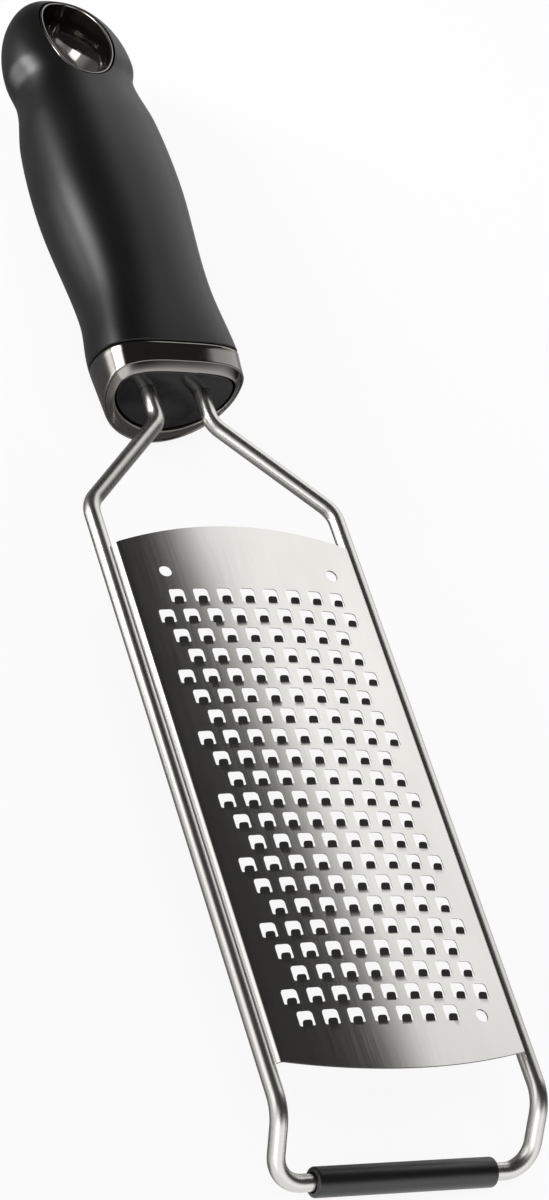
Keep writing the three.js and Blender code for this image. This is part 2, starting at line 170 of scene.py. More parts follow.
def rod_path():
    """The rod's centre line, from one end in the handle round the foot to the other."""
    mirrored = [(Vector((-corner.x, corner.y, corner.z)), radius) for corner, radius in rod_bends]
    bends = mirrored + rod_bends[::-1]
    start = Vector((-neck_x, rod_end_y, 0))
    end = Vector((neck_x, rod_end_y, 0))
    corners = [start] + [corner for corner, _ in bends] + [end]
    points = [start]
    for at, (corner, radius) in enumerate(bends, 1):
        into = (corner - corners[at - 1]).normalized()
        out = (corners[at + 1] - corner).normalized()
        points += bent_corner(corner, into, out, radius, rod_bend_steps)
    return points + [end]


def loose_object(name, data):
    """An object in the scene that holds a mesh or a lamp."""
    made = bpy.data.objects.new(name, data)
    scene.collection.objects.link(made)
    return made


def line_object(name, points):
    """A loose object of points joined in a line, for a node tree to follow."""
    mesh = bpy.data.meshes.new(name)
    mesh.from_pydata(points, [(at, at + 1) for at in range(len(points) - 1)], [])
    return loose_object(name, mesh)


def new_tree(name, sizes):
    """A geometry tree with a mesh going in and out and a named input for each size."""
    tree = bpy.data.node_groups.new(name, "GeometryNodeTree")
    tree.is_modifier = True
    tree.interface.new_socket("Geometry", in_out="OUTPUT", socket_type="NodeSocketGeometry")
    tree.interface.new_socket("Geometry", in_out="INPUT", socket_type="NodeSocketGeometry")
    for size, kind in sizes.items():
        tree.interface.new_socket(size, in_out="INPUT", socket_type="NodeSocket" + kind)
    return tree, add_node(tree, "NodeGroupInput").outputs


def end_tree(tree, geometry, finish):
    """The last nodes of a geometry tree: real geometry, in its finish."""
    realized = add_node(tree, "GeometryNodeRealizeInstances", {"Geometry": geometry}).outputs[0]
    coated = add_node(tree, "GeometryNodeSetMaterial", {"Geometry": realized, "Material": finish}).outputs[0]
    add_node(tree, "NodeGroupOutput", {"Geometry": coated})


def evaluated_mesh(source):
    """A plain mesh of an object with its modifiers applied."""
    graph = bpy.context.evaluated_depsgraph_get()
    return bpy.data.meshes.new_from_object(source.evaluated_get(graph), depsgraph=graph)


def made_by(tree, source, sizes):
    """The plain mesh that a tree makes of a loose object, which is then taken away."""
    modifier = source.modifiers.new(tree.name, "NODES")
    modifier.node_group = tree
    for socket in tree.interface.items_tree:
        if socket.name in sizes:
            modifier[socket.identifier] = sizes[socket.name]
    mesh = evaluated_mesh(source)
    source.modifiers.remove(modifier)
    bpy.data.objects.remove(source)
    return mesh


def set_down(name, mesh, finish, crease):
    """A finished piece where the grater lies, smooth but for edges sharper than the crease."""
    mesh.transform(lay)
    mesh.shade_smooth()
    mesh.set_sharp_from_angle(angle=math.radians(crease))
    mesh.materials.clear()
    mesh.materials.append(finish)
    mesh.name = name
    return loose_object(name, mesh)


# Polished stainless steel rod: a soft sheen, not quite a mirror, with a slight waviness and the faint lines
# that the drawing die left along it.
rod_steel = new_finish(
    "polished_stainless_rod",
    grains={"die_lines": ((0.5, 14, 0.5), 3), "hand_waves": ((5, 18, 5), 1)},
    roughness=("die_lines", 0.26, 0.32),
    bumps=[("hand_waves", 0.06, 0.2), ("die_lines", 0.05, 0.04)],
    plain={"Base Color": linear("#D6D4D0"), "Metallic": 1},
)

tree, sizes = new_tree("rod_along_its_line", {"Rod Radius": "Float", "Rod Sides": "Int"})
centre_line = add_node(tree, "GeometryNodeMeshToCurve", {"Mesh": sizes["Geometry"]}).outputs[0]
round_section = add_node(
    tree,
    "GeometryNodeCurvePrimitiveCircle",
    {"Resolution": sizes["Rod Sides"], "Radius": sizes["Rod Radius"]},
).outputs[0]
rod = add_node(
    tree, "GeometryNodeCurveToMesh", {"Curve": centre_line, "Profile Curve": round_section, "Fill Caps": True}
).outputs[0]
end_tree(tree, rod, rod_steel)
rod_mesh = made_by(
    tree, line_object("rod_line", rod_path()), {"Rod Radius": rod_radius, "Rod Sides": rod_sides}
)
wire_frame = set_down("bent_rod", rod_mesh, rod_steel, 40)
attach(wire_frame, "root")
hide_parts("wire_frame")

# Grater blade
# A thin stainless sheet, punched and formed in one stroke for each row: every window keeps a tongue at its
# foot side that is pushed up towards the handle. The sheet is arched and lipped, and welded to the rails.
sheet_thickness = 0.4
sheet_rows = 97
arch_radius = 222
arch_steps = 60
lip_length = 1.2
lip_angle = math.radians(63)
lip_bend = 1.6
lip_steps = 12
seat_angle = math.radians(40)
seat_reach = rod_radius + 0.3
end_bow = 3.9
column_pitch = 5.74
column_count = 11
row_pitch = 5.32
row_count = 21
row_step = 2 / 3
first_row_y = blade_end_y - 20.6
side_limit = 24.2
window_width = 3.5
window_length = 3.5
window_corner = 0.8
window_heel = 0.3
window_flare = 0.3
tongue_root = 0.55
tongue_length = 1.15
tongue_rise = 0.5
tongue_curl = 1.5
tongue_crown = 0.06
tongue_sink = 0.03
tongue_half_width = 1.1
tongue_thickness = 0.26
tongue_thinning = 0.6
punch_reach = 1
round_hole = 1.5
round_hole_sides = 24
round_holes = [(-20.04, blade_end_y - 12.2), (21.96, blade_end_y - 12.2), (21, 12.1 - blade_end_y)]
hole_room = round_hole + window_length / 2 + 0.8


def lip_section():
    """The blade's section at mid thickness, from lip to lip, as points in x and z."""
    end = Vector((rail_x - seat_reach * math.sin(seat_angle), 0, seat_reach * math.cos(seat_angle)))
    down = Vector((math.cos(lip_angle), 0, -math.sin(lip_angle)))
    corner = end - down * lip_length
    half_angle = math.asin(corner.x / arch_radius)
    along = Vector((math.cos(half_angle), 0, -math.sin(half_angle)))
    centre_z = corner.z - arch_radius * math.cos(half_angle)
    bend = bent_corner(corner, along, down, lip_bend, lip_steps)
    last = half_angle - (corner - bend[0]).length / arch_radius
    angles = [last * step / arch_steps for step in range(arch_steps)]
    arch = [Vector((arch_radius * math.sin(a), 0, centre_z + arch_radius * math.cos(a))) for a in angles]
    right = arch + bend + [end]
    left = [Vector((-point.x, 0, point.z)) for point in right[:0:-1]]
    return left + right


def slab(name, upper, lower, wide):
    """A closed shape between two equal grids of points, whose rows have the given number of points."""
    count = len(upper)
    long = count // wide
    faces = []
    for row in range(long - 1):
        for column in range(wide - 1):
            near = row * wide + column
            far = near + wide
            faces.append((near, near + 1, far + 1, far))
            faces.append((count + near, count + far, count + far + 1, count + near + 1))
    rim = list(range(wide)) + [row * wide + wide - 1 for row in range(1, long)]
    rim += [(long - 1) * wide + column for column in range(wide - 2, -1, -1)]
    rim += [row * wide for row in range(long - 2, 0, -1)]
    for here, there in zip(rim, rim[1:] + rim[:1]):
        faces.append((here, count + here, count + there, there))
    mesh = bpy.data.meshes.new(name)
    mesh.from_pydata(upper + lower, [], faces)
    return loose_object(name, mesh)


def flat_sheet(section):
    """The sheet before it is rolled, with x along the section and both ends bowed, and half its width."""
    points = np.array(section)
    steps = np.linalg.norm(np.diff(points, axis=0), axis=1)
    across = np.concatenate([[0], np.cumsum(steps)])
    across -= across[-1] / 2
    half_chord = points[-1, 0]
    bow_radius = (half_chord ** 2 + end_bow ** 2) / (2 * end_bow)
    reach = blade_end_y - bow_radius + np.sqrt(bow_radius ** 2 - points[:, 0] ** 2)
    rows = np.linspace(-1, 1, sheet_rows)
    upper = [(x, y * end, sheet_thickness / 2) for y in rows for x, end in zip(across, reach)]
    lower = [(x, y, -z) for x, y, z in upper]
    return slab("flat_sheet", upper, lower, len(across)), across[-1]


def punch(name, outlines, flare):
    """Closed upright cutters on anticlockwise plan outlines, each wider below by a share per millimetre."""
    points, faces = [], []
    for outline in outlines:
        start, count = len(points), len(outline)
        middle = np.mean(outline, axis=0)
        for z in (-punch_reach, punch_reach):
            size = 1 + flare * (sheet_thickness / 2 - z)
            points += [(*(middle + (np.array(place) - middle) * size), z) for place in outline]
        faces.append([start + at for at in range(count)][::-1])
        faces.append([start + count + at for at in range(count)])
        for at in range(count):
            after = (at + 1) % count
            faces.append((start + at, start + after, start + count + after, start + count + at))
    mesh = bpy.data.meshes.new(name)
    mesh.from_pydata(points, [], faces)
    return loose_object(name, mesh)


def round_arc(x, y, radius, start, end, steps):
    """Points of an arc about a centre, between two angles in degrees."""
    angles = [math.radians(start + (end - start) * step / steps) for step in range(steps + 1)]
    return [(x + radius * math.cos(a), y + radius * math.sin(a)) for a in angles]


def window_outline():
    """One window's plan: small corners at the tongue's root, large ones at the far side."""
    side, far = window_width / 2, window_length
    heel = side - window_heel
    shoulder = side - window_corner
    return (
        round_arc(-heel, window_heel, window_heel, 180, 270, 2)
        + round_arc(heel, window_heel, window_heel, 270, 360, 2)
        + round_arc(shoulder, far - window_corner, window_corner, 0, 90, 5)
        + round_arc(-shoulder, far - window_corner, window_corner, 90, 180, 5)
    )


def tongue_blank():
    """One tongue: it leaves the sheet in a smooth curve, narrows, and ends in a thin rounded edge."""
    shares = (0, 0.2, 0.4, 0.6, 0.8, 0.93, 1)
    widths = (1, 1, 1, 1, 0.96, 0.84, 0.62)
    lines = (-1, -0.5, 0, 0.5, 1)
    upper, lower = [], []
    for share, width in zip(shares, widths):
        y = share * (tongue_root + tongue_length) - tongue_root
        rise = sheet_thickness / 2 - tongue_sink + tongue_rise * share ** tongue_curl
        thickness = tongue_thickness * (1 - tongue_thinning * share)
        for line in lines:
            x = line * width * tongue_half_width
            crown = tongue_crown * share * (1 - line ** 2)
            upper.append((x, y, rise + crown))
            lower.append((x, y, rise + crown - thickness))
    return slab("tongue_blank", upper, lower, len(lines))


# Satin stainless sheet: rolled and lightly brushed along its length, so highlights smear into soft gradients.
# The brushing is finer than the picture shows, and is drawn coarser.
blade_steel = new_finish(
    "satin_rolled_stainless_sheet",
    grains={"brushing": ((0.45, 16, 0.45), 4), "rolling": ((14, 30, 14), 2)},
    roughness=("brushing", 0.11, 0.15),
    bumps=[("brushing", 0.02, 0.02)],
    plain={"Metallic": 1},
    shades=("rolling", "#D0CECA", "#D8D6D2"),
)

tree, sizes = new_tree(
    "toothed_arched_sheet",
    {
        "Rows": "Int",
        "Row Pitch": "Float",
        "Row Step": "Float",
        "First Row": "Float",
        "Columns": "Int",
        "Column Pitch": "Float",
        "Side Limit": "Float",
        "Hole Place": "Vector",
        "Hole Room": "Float",
        "Window": "Object",
        "Tongue": "Object",
        "Round Holes": "Object",
        "Section": "Object",
        "Section Half": "Float",
    },
)
# A lattice of rows and columns, each row stepped sideways from the one before it.
spans = {}
for count, pitch in (("Columns", "Column Pitch"), ("Rows", "Row Pitch")):
    gaps = add_node(tree, "ShaderNodeMath", {0: sizes[count], 1: 1}, operation="SUBTRACT").outputs[0]
    span = add_node(tree, "ShaderNodeMath", {0: gaps, 1: sizes[pitch]}, operation="MULTIPLY")
    spans[count] = span.outputs[0]
lattice = add_node(
    tree,
    "GeometryNodeMeshGrid",
    {
        "Size X": spans["Columns"],
        "Size Y": spans["Rows"],
        "Vertices X": sizes["Columns"],
        "Vertices Y": sizes["Rows"],
    },
).outputs[0]
place = add_node(tree, "GeometryNodeInputPosition").outputs[0]
apart = add_node(tree, "ShaderNodeSeparateXYZ", {0: place}).outputs
half_span = add_node(tree, "ShaderNodeMath", {0: spans["Rows"], 1: 0.5}, operation="MULTIPLY").outputs[0]
from_top = add_node(tree, "ShaderNodeMath", {0: half_span, 1: apart[1]}, operation="SUBTRACT").outputs[0]
row = add_node(tree, "ShaderNodeMath", {0: from_top, 1: sizes["Row Pitch"]}, operation="DIVIDE").outputs[0]
row = add_node(tree, "ShaderNodeMath", {0: row}, operation="ROUND").outputs[0]
turn = add_node(tree, "ShaderNodeMath", {0: 1, 1: row}, operation="SUBTRACT").outputs[0]
turn = add_node(tree, "ShaderNodeMath", {0: turn, 1: sizes["Row Step"]}, operation="MULTIPLY").outputs[0]
turn = add_node(tree, "ShaderNodeMath", {0: turn}, operation="FRACT").outputs[0]
tooth_x = add_node(
    tree, "ShaderNodeMath", {0: turn, 1: sizes["Column Pitch"], 2: apart[0]}, operation="MULTIPLY_ADD"
).outputs[0]
down = add_node(tree, "ShaderNodeMath", {0: row, 1: sizes["Row Pitch"]}, operation="MULTIPLY").outputs[0]
tooth_y = add_node(tree, "ShaderNodeMath", {0: sizes["First Row"], 1: down}, operation="SUBTRACT").outputs[0]
tooth_place = add_node(tree, "ShaderNodeCombineXYZ", {0: tooth_x, 1: tooth_y}).outputs[0]
lattice = add_node(tree, "GeometryNodeSetPosition", {"Geometry": lattice, "Position": tooth_place}).outputs[0]
# Teeth too near a lip, and the one where the foot's round hole is, are left out.
off_middle = add_node(tree, "ShaderNodeMath", {0: apart[0]}, operation="ABSOLUTE").outputs[0]
beyond = add_node(
    tree, "ShaderNodeMath", {0: off_middle, 1: sizes["Side Limit"]}, operation="GREATER_THAN"
).outputs[0]
away = add_node(
    tree, "ShaderNodeVectorMath", {0: place, 1: sizes["Hole Place"]}, operation="DISTANCE"
).outputs["Value"]
crowded = add_node(tree, "ShaderNodeMath", {0: away, 1: sizes["Hole Room"]}, operation="LESS_THAN").outputs[0]
left_out = add_node(tree, "ShaderNodeMath", {0: beyond, 1: crowded}, operation="MAXIMUM").outputs[0]
roots = add_node(tree, "GeometryNodeDeleteGeometry", {"Geometry": lattice, "Selection": left_out}).outputs[0]
# Windows and round holes are punched out, and the tongues grow from the sheet.
stamped = {}
for tool in ("Window", "Tongue"):
    shape = add_node(tree, "GeometryNodeObjectInfo", {"Object": sizes[tool]}).outputs["Geometry"]
    copies = add_node(tree, "GeometryNodeInstanceOnPoints", {"Points": roots, "Instance": shape}).outputs[0]
    stamped[tool] = add_node(tree, "GeometryNodeRealizeInstances", {"Geometry": copies}).outputs[0]
drilled = add_node(tree, "GeometryNodeObjectInfo", {"Object": sizes["Round Holes"]}).outputs["Geometry"]
cutters = add_node(tree, "GeometryNodeJoinGeometry", {0: drilled})
tree.links.new(stamped["Window"], cutters.inputs[0])
punched = add_node(
    tree,
    "GeometryNodeMeshBoolean",
    {"Mesh 1": sizes["Geometry"], "Mesh 2": cutters.outputs[0]},
    operation="DIFFERENCE",
    solver="MANIFOLD",
).outputs[0]
formed = add_node(
    tree, "GeometryNodeMeshBoolean", {"Mesh 2": punched}, operation="UNION", solver="MANIFOLD"
)
tree.links.new(stamped["Tongue"], formed.inputs["Mesh 2"])
# The flat sheet is rolled on its section: x runs along the section's line and z stands square to it.
section_line = add_node(tree, "GeometryNodeObjectInfo", {"Object": sizes["Section"]}).outputs["Geometry"]
section_line = add_node(tree, "GeometryNodeMeshToCurve", {"Mesh": section_line}).outputs[0]
reach = add_node(tree, "ShaderNodeMath", {0: apart[0], 1: sizes["Section Half"]}, operation="ADD").outputs[0]
rolled = add_node(
    tree,
    "GeometryNodeSampleCurve",
    {"Curves": section_line, "Length": reach},
    mode="LENGTH",
    use_all_curves=True,
).outputs
square = add_node(
    tree, "ShaderNodeVectorMath", {0: rolled["Tangent"], 1: (0, 1, 0)}, operation="CROSS_PRODUCT"
).outputs[0]
lifted = add_node(tree, "ShaderNodeVectorMath", {0: square, "Scale": apart[2]}, operation="SCALE").outputs[0]
lengthwise = add_node(tree, "ShaderNodeCombineXYZ", {1: apart[1]}).outputs[0]
settled = add_node(
    tree, "ShaderNodeVectorMath", {0: rolled["Position"], 1: lifted}, operation="ADD"
).outputs[0]
settled = add_node(tree, "ShaderNodeVectorMath", {0: settled, 1: lengthwise}, operation="ADD").outputs[0]
arched = add_node(
    tree, "GeometryNodeSetPosition", {"Geometry": formed.outputs[0], "Position": settled}
).outputs[0]
end_tree(tree, arched, blade_steel)

blade_section = lip_section()
sheet, section_half = flat_sheet(blade_section)
last_side = 360 - 360 / round_hole_sides
hole_outlines = [round_arc(x, y, round_hole, 0, last_side, round_hole_sides - 1) for x, y in round_holes]
blade_tools = {
    "Window": punch("window_punch", [window_outline()], window_flare),
    "Tongue": tongue_blank(),
    "Round Holes": punch("hole_punch", hole_outlines, 0),
    "Section": line_object("blade_section", blade_section),
}
blade_mesh = made_by(
    tree,
    sheet,
    {
        "Rows": row_count,
        "Row Pitch": row_pitch,
        "Row Step": row_step,
        "First Row": first_row_y,
        "Columns": column_count,
        "Column Pitch": column_pitch,
        "Side Limit": side_limit,
        "Hole Place": (*round_holes[2], 0),
        "Hole Room": hole_room,
        "Section Half": section_half,
        **blade_tools,
    },
)
for tool in blade_tools.values():
    bpy.data.objects.remove(tool)
grater_blade = set_down("toothed_blade", blade_mesh, blade_steel, 30)
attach(grater_blade, "root")
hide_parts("grater_blade")

# Foot sleeve
# A length of black rubber tube, cut square with its ends eased, and pushed on the foot bar
# before the rod was bent, so that the grater does not slip on a board.
sleeve_radius = 3.2
sleeve_half = 21.5
sleeve_bore = 2.2
sleeve_ease = 0.6
sleeve_sides = 72


def lofted(name, rings, loop=False):
    """A closed mesh through rings of equal count: a loop of them, or a row with flat ends."""
    sides = len(rings[0])
    points = [tuple(point) for ring in rings for point in ring]
    faces = []
    for near, far in zip(range(len(rings)), [*range(1, len(rings)), 0]):
        if far == 0 and not loop:
            continue
        for side in range(sides):
            after = (side + 1) % sides
            faces.append((near * sides + side, near * sides + after, far * sides + after, far * sides + side))
    if not loop:
        faces.append(list(range(sides)))
        faces.append([len(points) - sides + side for side in range(sides)])
    mesh = bpy.data.meshes.new(name)
    mesh.from_pydata(points, [], faces)
    shell = bmesh.new()
    shell.from_mesh(mesh)
    bmesh.ops.recalc_face_normals(shell, faces=shell.faces)
    shell.to_mesh(mesh)
    shell.free()
    return mesh


def sleeve_ring(x, radius):
    """A ring round the foot bar."""
    angles = [2 * math.pi * side / sleeve_sides for side in range(sleeve_sides)]
    return [(x, foot_y + radius * math.cos(a), foot_z + radius * math.sin(a)) for a in angles]


# Black rubber, extruded: dull, with a fine powdery grain and faint lines along the tube.
# The grain is finer than the picture shows, and is drawn coarser.
sleeve_rubber = new_finish(
    "extruded_black_rubber",
    grains={"grit": ((0.5, 0.5, 0.5), 4), "draw_lines": ((20, 0.9, 0.9), 2)},
    roughness=("grit", 0.32, 0.4),
    bumps=[("grit", 0.2, 0.06)],
    plain={"Specular IOR Level": 0.8},
    shades=("draw_lines", "#0B0B0B", "#121212"),
)

ease = round_arc(sleeve_half - sleeve_ease, sleeve_radius - sleeve_ease, sleeve_ease, 90, 0, 5)
sleeve_profile = [(-x, radius) for x, radius in ease[::-1]] + ease
sleeve_profile += [(sleeve_half, sleeve_bore), (-sleeve_half, sleeve_bore)]
sleeve_mesh = lofted("sleeve", [sleeve_ring(x, radius) for x, radius in sleeve_profile], loop=True)
foot_sleeve = set_down("rubber_sleeve", sleeve_mesh, sleeve_rubber, 50)
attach(foot_sleeve, "root")
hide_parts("foot_sleeve")

# End plug
# A moulded block of hard black plastic that closes the handle's mouth round the two rod ends.
# It was pressed into the collar, with its polished face a little inside the bezel.

# Handle sections, one row each: place along the handle from the collar's rim, half width, height above and
# below the rails' plane, roundness above and below (2 is an ellipse), and lean along the handle with height.
plug_section = np.array((0, 14.6, 6.1, 11.6, 3.2, 1.8, 0.13))
bezel_dome = 1.5
plug_recess = 0.4
plug_thickness = 5.5
plug_edge = 0.35
bore_radius = rod_radius + 0.1
bore_reach = 10
bore_sides = 48
outline_sides = 1440


def handle_ring(section, sides=144):
    """Evenly spaced points round one section of the handle."""
    along, half_width, rise, drop, upper, lower, lean = section
    angles = np.linspace(0, 2 * np.pi, outline_sides + 1)
    across, up = np.cos(angles), np.sin(angles)
    power = np.where(up > 0, upper, lower)
    x = half_width * np.sign(across) * np.abs(across) ** (2 / power)
    z = np.where(up > 0, rise, drop) * np.sign(up) * np.abs(up) ** (2 / power)
    steps = np.hypot(np.diff(x), np.diff(z))
    travel = np.concatenate([[0], np.cumsum(steps)])
    even = np.linspace(0, travel[-1], sides, endpoint=False)
    x, z = np.interp(even, travel, x), np.interp(even, travel, z)
    return np.column_stack([x, rim_y + along + lean * z, z])


def resized(section, along, by=0):
    """A section moved to a place along the handle, and grown on every side."""
    return np.array([along, *(section[1:4] + by), *section[4:]])


def cut_away(body_mesh, *cutter_meshes):
    """The mesh that is left of a body after the cutters are taken out of it."""
    body = loose_object("body", body_mesh)
    cutters = [loose_object("cutter", mesh) for mesh in cutter_meshes]
    for cutter in cutters:
        modifier = body.modifiers.new("cut", "BOOLEAN")
        modifier.operation = "DIFFERENCE"
        modifier.solver = "MANIFOLD"
        modifier.object = cutter
    mesh = evaluated_mesh(body)
    for used in [body, *cutters]:
        bpy.data.objects.remove(used)
    return mesh


def rod_bore(x):
    """Two rings of the hole for a rod end, before and behind the plug."""
    angles = [2 * math.pi * side / bore_sides for side in range(bore_sides)]
    ends = (rim_y - bore_reach, rim_y + bore_reach)
    return [[(x + bore_radius * math.cos(a), y, bore_radius * math.sin(a)) for a in angles] for y in ends]


# Black ABS, moulded in a polished tool: a deep gloss with a slight ripple where the plastic shrank.
plug_plastic = new_finish(
    "polished_black_abs",
    grains={"shrink": ((6, 6, 6), 1), "specks": ((0.6, 0.6, 0.6), 3)},
    roughness=("specks", 0.1, 0.18),
    bumps=[("shrink", 0.08, 0.3)],
    plain={"Base Color": linear("#040404")},
)

plug_face = plug_recess - bezel_dome
plug_rings = [
    handle_ring(resized(plug_section, plug_face + edge_y, edge_x))
    for edge_x, edge_y in round_arc(-plug_edge, plug_edge, plug_edge, -90, 0, 4)
]
plug_rings.append(handle_ring(resized(plug_section, plug_face + plug_thickness)))
plug_bores = [lofted("plug_bore", rod_bore(x)) for x in (-neck_x, neck_x)]
plug_mesh = cut_away(lofted("plug", plug_rings), *plug_bores)
end_plug = set_down("mouth_plug", plug_mesh, plug_plastic, 35)
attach(end_plug, "root")
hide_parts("end_plug")

# Collar
# A moulded ring, plated in black chrome, between the rods and the grip: a domed bezel frames the plug,
# a fine bead runs round the rim, and the straight band behind it ends in a rounded, slanting joint.
rim_section = np.array((0, 17.1, 9, 17, 3.2, 1.9, 0.13))
joint_section = np.array((8.4, 17.4, 9.8, 17.1, 3.2, 2, -0.25))
joint_round = 0.6
joint_step = 2.5
collar_bore = 0.3
collar_bore_end = 7
bezel_edge = 0.4
bezel_curve = 1.2
rim_bead = 0.5


def collar_rings():
    """Rings round the collar's wall, in one loop: bezel, rim, band, joint and bore."""
    inner = resized(plug_section, -bezel_dome, collar_bore + bezel_edge)
    rings = []
    for out, back in round_arc(0, bezel_edge, bezel_edge, 180, 270, 4)[:-1]:
        rings.append(resized(plug_section, back - bezel_dome, collar_bore + bezel_edge + out))
    rim_inside = resized(rim_section, 0, -rim_bead)
    for share in np.linspace(0, 1, 9):
        section = inner + (rim_inside - inner) * share
        section[0] = -bezel_dome * (1 - share ** bezel_curve)
        rings.append(section)
    for out, back in round_arc(-rim_bead / 2, 0, rim_bead / 2, 180, 360, 8)[1:]:
        rings.append(resized(rim_section, back, out))
    joint = joint_section[0]
    for along in np.linspace(rim_bead, joint - joint_round, 8)[:-1]:
        rings.append(rim_section + (joint_section - rim_section) * along / joint)
    for out, along in round_arc(-joint_round, joint - joint_round, joint_round, 0, 90, 8):
        rings.append(resized(joint_section, along, out))
    rings.append(resized(joint_section, joint, -joint_step))
    bore = resized(plug_section, collar_bore_end, collar_bore)
    bore[6] = joint_section[6]
    rings.append(bore)
    return [handle_ring(section) for section in rings]


# Black chrome on plastic: a dark film that mirrors about a quarter of the light head on and far more at a
# slant, with the soft waviness of plated plastic.
black_chrome = new_finish(
    "black_chrome_plating",
    grains={"ripple": ((7, 7, 7), 1), "haze": ((1.2, 1.2, 1.2), 3)},
    roughness=("haze", 0.06, 0.1),
    bumps=[("ripple", 0.05, 0.3)],
    plain={"IOR": 2.9, "Specular Tint": linear("#FFF9F2")},
    shades=("haze", "#0A0909", "#0F0E0D"),
)

collar = set_down("plated_collar", lofted("collar", collar_rings(), loop=True), black_chrome, 30)
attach(collar, "root")
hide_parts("collar")

# Grip
# A soft-touch shell, moulded over the core: it swells in the palm, draws in to a neck and ends in a bulb
# with an oval hole to hang it by.
waist_section = np.array((25, 15.9, 11, 17.1, 2.7, 1.9, 0))
belly_section = np.array((58, 17.6, 12.26, 17.95, 2.5, 2.1, 0))
taper_section = np.array((77, 16.8, 11.5, 16.8, 2.5, 2.1, 0))
neck_section = np.array((91, 14.7, 10.1, 14.4, 2.5, 2, 0))
bulb_section = np.array((97, 16.3, 10.4, 13.8, 2.5, 1.9, 0))
bulb_along = bulb_section[0]
bulb_length = 22.6
bulb_end = 0.985
bulb_rings = 30
grip_start = 8.7
grip_edge = 0.3
grip_wall = 3
grip_ring_count = 84
cavity_start = 8.1
cavity_end = 84.7
cavity_rings = 12
cavity_sides = 72
hole_y = rim_y + bulb_along + 5.1
hole_half_width = 8.1
hole_half_length = 12.9
hole_sides = 96
hole_reach = 30
liner_wall = 0.8
liner_fit = 0.3
handle_stations = np.array(
    (rim_section, joint_section, waist_section, belly_section, taper_section, neck_section, bulb_section)
)
secants = np.diff(handle_stations, axis=0) / np.diff(handle_stations[:, :1], axis=0)
slopes = np.vstack([secants[:1], (secants[1:] + secants[:-1]) / 2, 0 * secants[:1]])


def handle_section(along):
    """The grip's outer section: a smooth curve through the stations, then a round end."""
    reach = min(along, bulb_along)
    at = min(max(int(np.searchsorted(handle_stations[:, 0], reach)) - 1, 0), len(secants) - 1)
    start, end = handle_stations[at], handle_stations[at + 1]
    gap = end[0] - start[0]
    t = (reach - start[0]) / gap
    section = (
        start * (2 * t ** 3 - 3 * t ** 2 + 1)
        + end * (3 * t ** 2 - 2 * t ** 3)
        + slopes[at] * gap * (t ** 3 - 2 * t ** 2 + t)
        + slopes[at + 1] * gap * (t ** 3 - t ** 2)
    )
    past = max(0, along - bulb_along) / bulb_length
    section[0] = along
    section[1:4] *= math.sqrt(1 - past ** 2)
    return section


def grip_rings():
    """Rings from the joint to the bulb's end, closer together where the bulb rounds off."""
    rings = [handle_ring(resized(handle_section(grip_start), grip_start, -grip_edge))]
    for along in np.linspace(grip_start + grip_edge, bulb_along, grip_ring_count):
        rings.append(handle_ring(handle_section(along)))
    for angle in np.linspace(0, bulb_end * math.pi / 2, bulb_rings)[1:]:
        rings.append(handle_ring(handle_section(bulb_along + bulb_length * math.sin(angle))))
    return rings


def cavity_shape():
    """Rings of the hollow that the core fills, one wall inside the grip."""
    alongs = np.linspace(cavity_start, cavity_end, cavity_rings)
    return [handle_ring(resized(handle_section(along), along, -grip_wall), cavity_sides) for along in alongs]


def oval(margin, z):
    """The hanging hole's outline, grown by a margin, at a height."""
    angles = [2 * math.pi * side / hole_sides for side in range(hole_sides)]
    wide, long = hole_half_width + margin, hole_half_length + margin
    return [(wide * math.cos(a), hole_y + long * math.sin(a), z) for a in angles]


# Soft-touch coated plastic: a matt black skin that spreads every light into a broad, velvety sheen.
# Its spray grain is finer than the picture shows, and is drawn coarser.
grip_coat = new_finish(
    "soft_touch_coating",
    grains={"spray": ((0.35, 0.35, 0.35), 3), "handling": ((18, 30, 18), 3)},
    roughness=("handling", 0.34, 0.4),
    bumps=[("spray", 0.16, 0.04)],
    plain={"Specular IOR Level": 0.5},
    shades=("handling", "#070707", "#0B0B0B"),
)

hole_cutter = lofted("hole_cutter", [oval(liner_wall + liner_fit, z) for z in (-hole_reach, hole_reach)])
grip_mesh = cut_away(lofted("grip", grip_rings()), lofted("cavity", cavity_shape()), hole_cutter)
grip = set_down("coated_grip", grip_mesh, grip_coat, 40)
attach(grip, "root")
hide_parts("grip")

# Handle core
# The stiff moulding inside the grip that holds the rod ends, hidden by the grip, the collar and the plug.
# The solid is right as it is, and only gets its finish here.

# Black nylon, moulded: a plain even skin with a fine grain left by the tool.
core_plastic = new_finish(
    "moulded_black_nylon",
    grains={"tool_grain": ((0.8, 0.8, 0.8), 3)},
    roughness=("tool_grain", 0.4, 0.5),
    bumps=[("tool_grain", 0.2, 0.05)],
    plain={"Base Color": linear("#161616")},
)
core_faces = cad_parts["handle_core"].data
core_faces.materials.clear()
core_faces.materials.append(core_plastic)

# Hanging eyelet
# A black chromed liner in the hanging hole, narrowest at mid height. Its rolled rims follow the bulb's
# surface, just inside the edge of the grip.
eyelet_waist = 0.82
eyelet_curve = 1.5
eyelet_inset = 0.2
waist_z = -4.5
rim_roll = liner_wall / 2
funnel_steps = 24


def bulb_height(x, y, above):
    """Height of the bulb's surface over a point of its plan."""
    section = handle_section(y - rim_y)
    power = section[4] if above else section[5]
    fall = max(0, 1 - min(1, abs(x) / section[1]) ** power) ** (1 / power)
    return section[2] * fall - eyelet_inset if above else eyelet_inset - section[3] * fall


def eyelet_ring(margin, height, above):
    """A ring beside a rim: grown by a margin, and at a height from the bulb's surface."""
    return [(x, y, bulb_height(x, y, above) + height) for x, y, _ in oval(margin, 0)]


